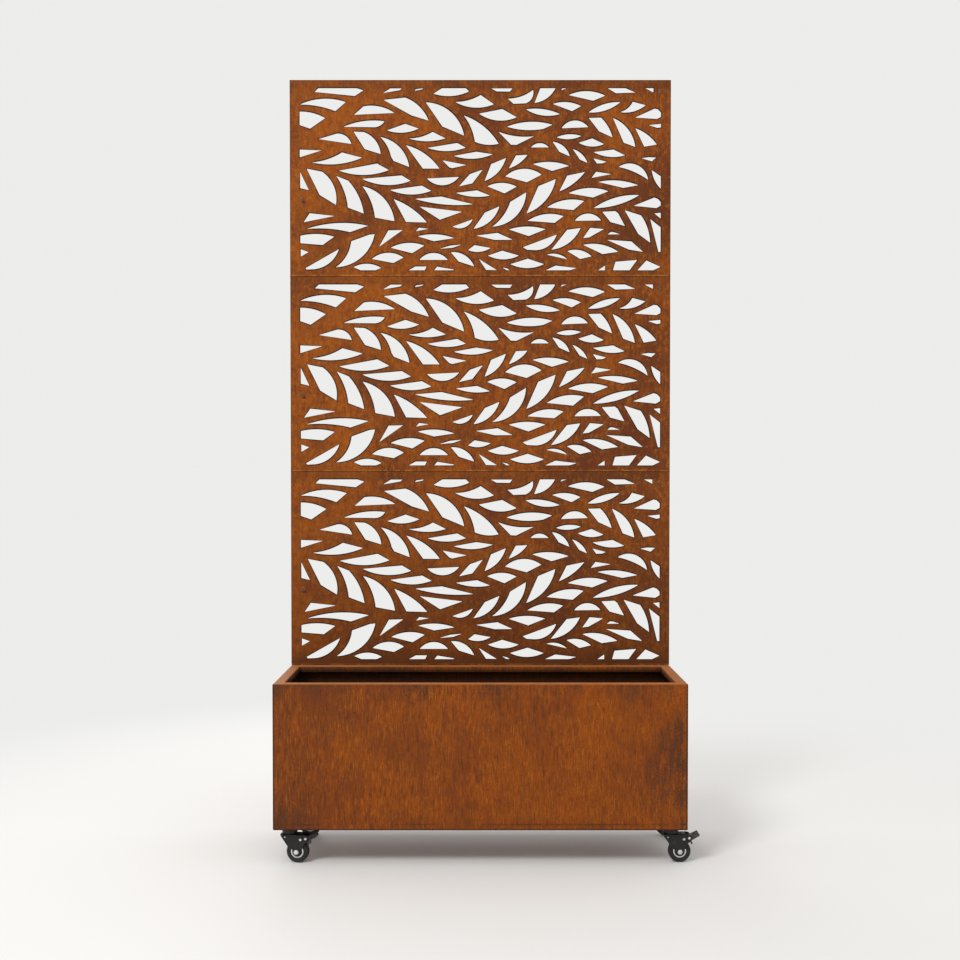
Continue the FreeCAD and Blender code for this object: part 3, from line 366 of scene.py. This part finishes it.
def heads_tree():
    """A closed fastener head on every point: a drum, a crown drawn in, and a recess or a raised end
    on top. It stands on the point and faces along the point's own direction."""
    tree = bpy.data.node_groups.new("fastener_heads", "GeometryNodeTree")
    face = tree.interface.new_socket
    face(name="Geometry", in_out="INPUT", socket_type="NodeSocketGeometry")
    face(name="Sides", in_out="INPUT", socket_type="NodeSocketInt")
    for name in ("Radius", "Drum", "Crown rise", "Crown share", "Recess share", "Recess rise"):
        face(name=name, in_out="INPUT", socket_type="NodeSocketFloat")
    face(name="Finish", in_out="INPUT", socket_type="NodeSocketMaterial")
    face(name="Geometry", in_out="OUTPUT", socket_type="NodeSocketGeometry")
    points = Wire(tree).add("NodeGroupInput")
    drum = points.add(
        "GeometryNodeMeshCylinder",
        {},
        {"Vertices": points.also("Sides"), "Radius": points.also("Radius"), "Depth": points.also("Drum")},
    )
    shape, top = drum, drum.also("Top")
    for rise, share in (("Crown rise", "Crown share"), (None, "Recess share"), ("Recess rise", None)):
        lift = points.also(rise) if rise else 0.0
        shape = points.add(
            "GeometryNodeExtrudeMesh",
            {},
            {"Mesh": shape, "Selection": top, "Offset Scale": lift, "Individual": False},
        )
        top = shape.also("Top")
        if share:
            drawn = {"Geometry": shape, "Selection": top, "Scale": points.also(share)}
            shape = points.add("GeometryNodeScaleElements", {}, drawn)
    up = points.add("ShaderNodeCombineXYZ", {}, {"Z": points.also("Drum") * 0.5})
    stood = points.add("GeometryNodeTransform", {}, {"Geometry": shape, "Translation": up})
    name = {"Name": "facing"}
    facing = points.add("GeometryNodeInputNamedAttribute", {"data_type": "FLOAT_VECTOR"}, name)
    turned = points.add("FunctionNodeAlignRotationToVector", {"axis": "Z"}, {"Vector": facing})
    placed = {"Points": points, "Instance": stood, "Rotation": turned}
    heads = points.add("GeometryNodeInstanceOnPoints", {}, placed)
    real = points.add("GeometryNodeRealizeInstances", {}, {"Geometry": heads})
    done = points.add(
        "GeometryNodeSetMaterial", {}, {"Geometry": real, "Material": points.also("Finish")}
    )
    last = tree.nodes.new("NodeGroupOutput")
    tree.links.new(done.socket, last.inputs[0])
    return tree


heads = heads_tree()


def grown(name, body, points, facing, tree, entries):
    """What a tree makes on a body's points, as a plain mesh that rides on that body."""
    mesh = bpy.data.meshes.new(name)
    mesh.from_pydata(points, [], [])
    ways = mesh.attributes.new("facing", "FLOAT_VECTOR", "POINT")
    for row, way in zip(ways.data, facing):
        row.vector = way
    piece = bpy.data.objects.new(name, mesh)
    bpy.context.scene.collection.objects.link(piece)
    modifier = piece.modifiers.new("grown", "NODES")
    modifier.node_group = tree
    for item in tree.interface.items_tree:
        if item.in_out == "INPUT" and item.name in entries:
            modifier[item.identifier] = entries[item.name]
    bpy.context.view_layer.update()
    plain = bpy.data.meshes.new_from_object(piece.evaluated_get(bpy.context.evaluated_depsgraph_get()))
    piece.modifiers.clear()
    piece.data = plain
    plain.polygons.foreach_set("use_smooth", [True] * len(plain.polygons))
    plain.set_sharp_from_angle(angle=math.radians(38))
    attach(piece, body)
    return piece


def bright_zinc():
    """Zinc-plated steel: bright, with a faint spangle and a little white bloom."""
    base, bloom = (0.80, 0.80, 0.78, 1), (0.52, 0.52, 0.51, 1)
    material, place = start_finish("bright_zinc", {"Metallic": 1.0})
    spangle = clouds(place, (1, 1, 1), 420.0, 3.0, 0.6)
    dull = clouds(place, (1, 1, 1), 90.0, 4.0, 0.6)
    colour = dull.step(0.4, 0.75).blend(base, bloom)
    return end_finish(material, colour, 0.24 + spangle * 0.25, spangle, 0.00008)


def rusted_head():
    """The screws have rusted with the sheet that they hold, a shade darker."""
    brown, orange, pits = (0.11, 0.036, 0.011, 1), (0.21, 0.062, 0.012, 1), (0.05, 0.02, 0.009, 1)
    material, place = start_finish("screw_rust", {"Specular IOR Level": 0.35})
    grain = clouds(place, (1, 1, 1), 600.0, 4.0, 0.65)
    mottle = clouds(place, (1, 1, 1), 150.0, 3.0, 0.6)
    colour = (grain.step(0.5, 0.75) * 0.7).blend(mottle.step(0.4, 0.6).blend(brown, orange), pits)
    return end_finish(material, colour, 0.5 + grain * 0.3, grain, 0.0003)


zinc, screw_rust = bright_zinc(), rusted_head()
BUTTON = {"Sides": 24, "Radius": 0.0062, "Drum": 0.0011, "Crown rise": 0.0015, "Crown share": 0.62}
BUTTON |= {"Recess share": 0.75, "Recess rise": -0.0011, "Finish": screw_rust}
PLAIN_NUT = {"Sides": 6, "Radius": 0.0058, "Drum": 0.0040, "Crown rise": 0.0005, "Crown share": 0.9}
PLAIN_NUT |= {"Recess share": 0.52, "Recess rise": 0.0018, "Finish": zinc}
panel_tops = [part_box(name)[1].z for name in ("screen_bottom", "screen_middle", "screen_top")]
sheet_front, sheet_back = 0.151, 0.1525
left_screw, left_drop, right_screw, right_drop = -0.428, 0.2858, 0.432, 0.0280
screw_spots = [Vector((left_screw, 0, top - left_drop)) for top in panel_tops]
screw_spots += [Vector((right_screw, 0, top - right_drop)) for top in panel_tops]
tab_reach, tab_tall, tab_thick, tab_round, tube_face = 0.0175, 0.024, 0.0025, 0.006, 0.4355
grown(
    "panel_screws",
    "planter",
    [spot + Vector((0, sheet_front, 0)) for spot in screw_spots],
    [(0, -1, 0)] * len(screw_spots),
    heads,
    BUTTON,
)
grown(
    "panel_nuts",
    "planter",
    [spot + Vector((0, sheet_back + tab_thick, 0)) for spot in screw_spots],
    [(0, 1, 0)] * len(screw_spots),
    heads,
    PLAIN_NUT,
)
tabs = bmesh.new()
for spot in screw_spots:
    side = math.copysign(1, spot.x)
    middle = Vector((side * (tube_face - tab_reach / 2), sheet_back + tab_thick / 2, spot.z))
    size = Matrix.Diagonal((tab_reach, tab_thick, tab_tall, 1))
    made = bmesh.ops.create_cube(tabs, size=1, matrix=Matrix.Translation(middle) @ size)
    inner = side * (tube_face - tab_reach)
    corners = [
        edge
        for edge in {edge for vert in made["verts"] for edge in vert.link_edges}
        if all(abs(vert.co.x - inner) < 1e-6 for vert in edge.verts)
        and abs(edge.verts[0].co.y - edge.verts[1].co.y) > 1e-6
    ]
    bmesh.ops.bevel(tabs, geom=corners, offset=tab_round, segments=4, affect="EDGES", profile=0.5)
tab_mesh = bpy.data.meshes.new("upright_tabs")
tabs.to_mesh(tab_mesh)
tabs.free()
tab_mesh.materials.append(tube)
tab_piece = bpy.data.objects.new("upright_tabs", tab_mesh)
bpy.context.scene.collection.objects.link(tab_piece)
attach(tab_piece, "planter")

# A low bead of weld closes the joint between the planter's back rim and the bottom panel, from one
# upright to the other. It has rusted with the sheet.
bead_half, bead_low, bead_high = 0.432, Vector((0.1530, 0.4008)), Vector((0.1562, 0.4033))
bead_round = 0.0009
bead = bmesh.new()
bead_size = Matrix.Diagonal((2 * bead_half, bead_high.x - bead_low.x, bead_high.y - bead_low.y, 1))
bead_middle = Vector((0, (bead_low.x + bead_high.x) / 2, (bead_low.y + bead_high.y) / 2))
bmesh.ops.create_cube(bead, size=1, matrix=Matrix.Translation(bead_middle) @ bead_size)
long_edges = [edge for edge in bead.edges if abs(edge.verts[0].co.x - edge.verts[1].co.x) > bead_half]
bmesh.ops.bevel(bead, geom=long_edges, offset=bead_round, segments=3, affect="EDGES", profile=0.5)
bead_mesh = bpy.data.meshes.new("rim_weld")
bead.to_mesh(bead_mesh)
bead.free()
bead_mesh.materials.append(tube)
bead_piece = bpy.data.objects.new("rim_weld", bead_mesh)
bpy.context.scene.collection.objects.link(bead_piece)
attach(bead_piece, "planter")

# The pans are bolted to each other along their seams, three bolts to a seam through the two folded
# edges, out of sight from the front. Heads and nuts are zinc plated.
seams, seam_across, seam_depth, fold = panel_tops[:2], (-0.30, 0.0, 0.30), 0.164, 0.0015
seam_spots = [Vector((x, seam_depth, z)) for z in seams for x in seam_across]
BOLT_HEAD = {"Sides": 6, "Radius": 0.0058, "Drum": 0.0032, "Crown rise": 0.0005, "Crown share": 0.9}
BOLT_HEAD |= {"Recess share": 0.7, "Recess rise": -0.0002, "Finish": zinc}
down, up = (0, 0, -1), (0, 0, 1)
below = [spot - Vector((0, 0, fold)) for spot in seam_spots]
above = [spot + Vector((0, 0, fold)) for spot in seam_spots]
grown("seam_bolt_heads", "planter", below, [down] * len(below), heads, BOLT_HEAD)
grown("seam_bolt_nuts", "planter", above, [up] * len(above), heads, PLAIN_NUT)

# Two bolts hold each upright to the planter's back wall: a low round head on the tube, a nut on a
# washer inside the planter.
bolt_across, bolt_heights, tube_back, wall_inside = 0.4455, (0.1395, 0.3235), 0.1725, 0.1505
ROUND_HEAD = {"Sides": 28, "Radius": 0.0075, "Drum": 0.0006, "Crown rise": 0.0015, "Crown share": 0.6}
ROUND_HEAD |= {"Recess share": 0.55, "Recess rise": -0.0009, "Finish": zinc}
WASHER = {"Sides": 28, "Radius": 0.0085, "Drum": 0.0010, "Crown rise": 0.0002, "Crown share": 0.97}
WASHER |= {"Recess share": 0.6, "Recess rise": 0.0001, "Finish": zinc}
bolt_spots = [Vector((x, 0, z)) for x in (-bolt_across, bolt_across) for z in bolt_heights]
behind = [spot + Vector((0, tube_back, 0)) for spot in bolt_spots]
inside = [spot + Vector((0, wall_inside, 0)) for spot in bolt_spots]
washer_thick = WASHER["Drum"] + WASHER["Crown rise"]
on_washer = [spot - Vector((0, washer_thick, 0)) for spot in inside]
back, front = (0, 1, 0), (0, -1, 0)
grown("upright_bolt_heads", "planter", behind, [back] * len(behind), heads, ROUND_HEAD)
grown("upright_washers", "planter", inside, [front] * len(inside), heads, WASHER)
grown("upright_bolt_nuts", "planter", on_washer, [front] * len(inside), heads, PLAIN_NUT)

# Each caster hangs on a zinc stem that is nutted inside the planter. A black dished race under the
# floor holds the balls that the fork turns on.


def powder_coat(name, base, worn, rough, intact):
    """Black powder coat: a fine orange peel, and grey where it has worn thin; on the pedal the grey also
    stands for a painted highlight.
    """
    material, place = start_finish(name, {"Specular IOR Level": 0.35})
    peel = clouds(place, (1, 1, 1), 700.0, 2.0, 0.5)
    rub = clouds(place, (1, 1, 1), 75.0, 5.0, 0.65)
    colour = (rub.step(intact, intact + 0.25) * 0.7 + peel * 0.1).blend(base, worn)
    return end_finish(material, colour, rough + rub * 0.2, peel, 0.00015)


coat = powder_coat("caster_coat", (0.0075, 0.0065, 0.0060, 1), (0.032, 0.028, 0.024, 1), 0.38, 0.50)
for name, coating in (("caster_stems", zinc), ("stem_nuts", zinc), ("swivel_races", coat)):
    dress(name, coating)

# A caster's fork is pressed from one black steel plate. Bright rivets show on its cheeks: the cross
# pin over the wheel, the brake pedal's pin, and a small one under the crown.
casters = {
    "front_left": (-0.425, -0.1125, math.radians(-10)),
    "front_right": (0.425, -0.1125, 0.0),
    "rear_left": (-0.425, 0.1125, 0.0),
    "rear_right": (0.425, 0.1125, 0.0),
}


def seat(corner):
    """Where a caster stands: its swivel axis, and its turn at rest."""
    across, along, turn = casters[corner]
    return Matrix.Translation((across, along, 0)) @ Matrix.Rotation(turn, 4, "Z")


cheek = 0.0135
RIVET = {"Sides": 20, "Drum": 0.0004, "Crown rise": 0.0009, "Crown share": 0.7}
RIVET |= {"Recess share": 0.6, "Recess rise": 0.0002, "Finish": zinc}
rivets = {"cross_pin": ((0.0280, 0.0530), 0.0030), "pedal_pin": ((0.0395, 0.0555), 0.0031)}
rivets["crown_rivet"] = ((-0.0075, 0.0575), 0.0019)
for corner in casters:
    stand = seat(corner)
    dress(f"{corner}_fork", coat)
    for kind, ((reach, rise), radius) in rivets.items():
        points = [stand @ Vector((reach, side * cheek, rise)) for side in (-1, 1)]
        ways = [stand.to_3x3() @ Vector((0, side, 0)) for side in (-1, 1)]
        name = f"{corner}_{kind}_heads"
        grown(name, f"{corner}_fork", points, ways, heads, RIVET | {"Radius": radius})

# The axle is a zinc bolt clamped through both cheeks, with a nut; the end of its thread stands a
# little proud of the nut.
THREAD_END = {"Sides": 20, "Radius": 0.0029, "Drum": 0.0008, "Crown rise": 0.0005, "Crown share": 0.8}
THREAD_END |= {"Recess share": 0.5, "Recess rise": -0.0001, "Finish": zinc}
nut_face, axle_reach, axle_rise = 0.0165, 0.019, 0.025
for corner in casters:
    stand = seat(corner)
    dress(f"{corner}_axle", zinc)
    ends = [stand @ Vector((axle_reach, side * nut_face, axle_rise)) for side in (-1, 1)]
    ways = [stand.to_3x3() @ Vector((0, side, 0)) for side in (-1, 1)]
    grown(f"{corner}_thread_ends", f"{corner}_fork", ends, ways, heads, THREAD_END)

# A wheel is a black rubber tyre moulded on a plastic core, with a bright pressed ring let into each
# side of the core. All three turn together on the axle.


def tyre_rubber():
    """Rubber: matt black, with grey scuffs and dust worked into the tread."""
    base, pale_tone = (0.011, 0.011, 0.011, 1), (0.060, 0.056, 0.050, 1)
    material, place = start_finish("tyre_rubber", {"Specular IOR Level": 0.4})
    scuff = clouds(place, (1, 1, 1), 160.0, 5.0, 0.65)
    grain = clouds(place, (1, 1, 1), 1100.0, 2.0, 0.5)
    colour = (scuff.step(0.52, 0.8) * 0.6 + grain * 0.08).blend(base, pale_tone)
    return end_finish(material, colour, 0.58 + scuff * 0.3, grain + scuff, 0.00015)


def lathe(name, stand, profile, finish, body, steps=72):
    """A closed ring turned about a wheel's axle from an outline of radii and widths."""
    ring = bmesh.new()
    rows = []
    for index in range(steps):
        turn = 2 * math.pi * index / steps
        row = []
        for radius, width in profile:
            reach = axle_reach + radius * math.cos(turn)
            row.append(ring.verts.new(stand @ Vector((reach, width, axle_rise + radius * math.sin(turn)))))
        rows.append(row)
    for index, row in enumerate(rows):
        after = rows[(index + 1) % steps]
        for spot in range(len(profile)):
            beyond = (spot + 1) % len(profile)
            ring.faces.new((row[spot], row[beyond], after[beyond], after[spot]))
    bmesh.ops.recalc_face_normals(ring, faces=ring.faces)
    mesh = bpy.data.meshes.new(name)
    ring.to_mesh(mesh)
    ring.free()
    mesh.polygons.foreach_set("use_smooth", [True] * len(mesh.polygons))
    mesh.set_sharp_from_angle(angle=math.radians(32))
    mesh.materials.append(finish)
    piece = bpy.data.objects.new(name, mesh)
    bpy.context.scene.collection.objects.link(piece)
    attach(piece, body)
    return piece


def mirrored(half):
    """An outline and its mirror image across the wheel's middle."""
    return list(half) + [(radius, -width) for radius, width in reversed(half)]


rubber = tyre_rubber()
core_plastic = moulded("core_plastic", (0.010, 0.010, 0.010, 1), (0.035, 0.034, 0.032, 1), 0.4)
tyre_half = (
    (0.0158, 0.0078),
    (0.0166, 0.0088),
    (0.0194, 0.0093),
    (0.0199, 0.0088),
    (0.0205, 0.0088),
    (0.0210, 0.0093),
    (0.0224, 0.0092),
    (0.0238, 0.0080),
    (0.0246, 0.0064),
    (0.02495, 0.0042),
    (0.0250, 0.0014),
)
core_half = (
    (0.00305, 0.0095),
    (0.0074, 0.0095),
    (0.0081, 0.0090),
    (0.0086, 0.0076),
    (0.0104, 0.0072),
    (0.0150, 0.0072),
    (0.0157, 0.0078),
)
trim = (
    (0.0108, 0.0071),
    (0.0109, 0.0081),
    (0.0116, 0.0087),
    (0.0128, 0.0089),
    (0.0140, 0.0086),
    (0.0146, 0.0080),
    (0.0147, 0.0071),
)
for corner in casters:
    stand, body = seat(corner), f"{corner}_wheel"
    tyre = lathe(f"{corner}_tyre", stand, mirrored(tyre_half), rubber, body)
    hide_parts(body)
    lathe(f"{corner}_core", stand, mirrored(core_half), core_plastic, body)
    for side, way in (("inner", 1), ("outer", -1)):
        outline = [(radius, way * width) for radius, width in trim]
        lathe(f"{corner}_{side}_trim", stand, outline, zinc, body)

# The brake pedal is pressed steel under the same black coat, grey in patches that are part wear from a
# foot and part painted highlight.
# Low ribs across the pad keep a shoe from slipping.


def ribs_tree():
    """A row of ribs: a bar with a drawn-in top on each point, laid along the row's own direction."""
    tree = bpy.data.node_groups.new("pedal_ribs", "GeometryNodeTree")
    face = tree.interface.new_socket
    face(name="Geometry", in_out="INPUT", socket_type="NodeSocketGeometry")
    face(name="Bar", in_out="INPUT", socket_type="NodeSocketVector")
    face(name="Turn", in_out="INPUT", socket_type="NodeSocketVector")
    face(name="Top share", in_out="INPUT", socket_type="NodeSocketFloat")
    face(name="Finish", in_out="INPUT", socket_type="NodeSocketMaterial")
    face(name="Geometry", in_out="OUTPUT", socket_type="NodeSocketGeometry")
    points = Wire(tree).add("NodeGroupInput")
    bar = points.add("GeometryNodeMeshCube", {}, {"Size": points.also("Bar")})
    rise = points.add("GeometryNodeInputNormal")
    upward = axis_of(rise, "Z").maths("GREATER_THAN", axis_of(rise, "Z"), 0.5)
    drawn = {"Geometry": bar, "Selection": upward, "Scale": points.also("Top share")}
    bar = points.add("GeometryNodeScaleElements", {}, drawn)
    placed = {"Points": points, "Instance": bar, "Rotation": points.also("Turn")}
    row = points.add("GeometryNodeInstanceOnPoints", {}, placed)
    real = points.add("GeometryNodeRealizeInstances", {}, {"Geometry": row})
    done = points.add(
        "GeometryNodeSetMaterial", {}, {"Geometry": real, "Material": points.also("Finish")}
    )
    last = tree.nodes.new("NodeGroupOutput")
    tree.links.new(done.socket, last.inputs[0])
    return tree


ribs = ribs_tree()
# Painted highlight in part: the pedal's grey tone is set paler than the forks' to stand for light caught
# on the pedal's top.
pedal_coat_worn_and_highlit = powder_coat("pedal_coat_worn_and_highlit", (0.011, 0.0105, 0.010, 1), (0.085, 0.081, 0.077, 1), 0.32, 0.40)
pad_start, pad_end, rib_count = Vector((0.0490, 0, 0.0623)), Vector((0.0562, 0, 0.0659)), 4
pad_slope = math.atan2(pad_end.z - pad_start.z, pad_end.x - pad_start.x)
rib_bar = (0.0010, 0.0180, 0.0012)
for corner in casters:
    stand = seat(corner)
    dress(f"{corner}_brake_pedal", pedal_coat_worn_and_highlit)
    points = [stand @ pad_start.lerp(pad_end, index / (rib_count - 1)) for index in range(rib_count)]
    entries = {"Bar": rib_bar, "Turn": (0, -pad_slope, casters[corner][2])}
    entries |= {"Top share": 0.8, "Finish": pedal_coat_worn_and_highlit}
    ways = [(0, 0, 1)] * rib_count
    grown(f"{corner}_pedal_ribs", f"{corner}_brake_pedal", points, ways, ribs, entries)

# The part stands on a pale studio floor that runs out into the backdrop, in an even pale surround.
# A large soft lamp at the front left lights it, and a weaker one behind lights the floor under it.
backdrop, floor_tone = (0.845, 0.845, 0.836, 1), (0.76, 0.76, 0.755, 1)
floor_reach, fade_start, fade_end = 9.0, 0.9, 2.3
floor_mesh = bpy.data.meshes.new("studio_floor")
disc = bmesh.new()
bmesh.ops.create_circle(disc, cap_ends=True, segments=96, radius=floor_reach)
disc.to_mesh(floor_mesh)
disc.free()
floor = bpy.data.objects.new("studio_floor", floor_mesh)
bpy.context.scene.collection.objects.link(floor)
paper = bpy.data.materials.new("studio_paper")
paper.use_nodes = True
paper_tree = paper.node_tree
paper_tree.nodes.clear()
ground = Wire(paper_tree).add("ShaderNodeTexCoord", output="Object")
reach = ground.add("ShaderNodeVectorMath", {"operation": "LENGTH"}, {0: ground}, "Value")
lit = ground.add("ShaderNodeBsdfDiffuse", {}, {"Color": floor_tone})
glow = ground.add("ShaderNodeEmission", {}, {"Color": backdrop, "Strength": 1.0})
seen = ground.add("ShaderNodeLightPath", output="Is Camera Ray")
far = reach.step(fade_start, fade_end) * seen
surface = ground.add("ShaderNodeMixShader", {}, {0: far, 1: lit, 2: glow})
paper_out = paper_tree.nodes.new("ShaderNodeOutputMaterial")
paper_tree.links.new(surface.socket, paper_out.inputs["Surface"])
floor_mesh.materials.append(paper)

world = bpy.data.worlds.new("studio_surround")
bpy.context.scene.world = world
world.use_nodes = True
sky = world.node_tree
sky.nodes.clear()
path = Wire(sky).add("ShaderNodeLightPath", output="Is Camera Ray")
shown = path.maths("MAXIMUM", path, path.also("Is Glossy Ray"))
shown = path.maths("MAXIMUM", shown, path.also("Is Transmission Ray"))
fill = path.add("ShaderNodeBackground", {}, {"Color": (1.0, 0.985, 0.965, 1), "Strength": 0.85})
pale = path.add("ShaderNodeBackground", {}, {"Color": backdrop, "Strength": 1.0})
around = path.add("ShaderNodeMixShader", {}, {0: shown, 1: fill, 2: pale})
sky_out = sky.nodes.new("ShaderNodeOutputWorld")
sky.links.new(around.socket, sky_out.inputs["Surface"])


def round_lamp(name, width, power, spot, aim):
    """A round lamp of that width and power, turned towards what it lights."""
    lamp_data = bpy.data.lights.new(name, "AREA")
    lamp_data.shape = "DISK"
    lamp_data.size = width
    lamp_data.energy = power
    lamp_data.color = (1.0, 0.985, 0.96)
    lamp = bpy.data.objects.new(name, lamp_data)
    bpy.context.scene.collection.objects.link(lamp)
    lamp.location = spot
    lamp.rotation_euler = (Vector(aim) - lamp.location).to_track_quat("-Z", "Y").to_euler()


round_lamp("soft_lamp", 1.9, 178.0, (-2.3, -3.9, 4.6), (0, 0, 0.7))
round_lamp("back_lamp", 2.2, 45.0, (-0.8, 3.4, 1.3), (0, 0, 0.2))

# The camera looks straight at the front from a little below half the screen's height.
camera_data = bpy.data.cameras.new("camera")
camera_data.sensor_width = 36.0
camera_data.lens = 51.465
camera_data.shift_y = 0.02917
camera = bpy.data.objects.new("camera", camera_data)
bpy.context.scene.collection.objects.link(camera)
camera.location = (-0.0007, -3.1586, 0.862)
tilt_down = 1.3646
camera.rotation_euler = (math.radians(90 - tilt_down), 0, 0)
bpy.context.scene.camera = camera
bpy.context.scene.view_settings.view_transform = "Standard"
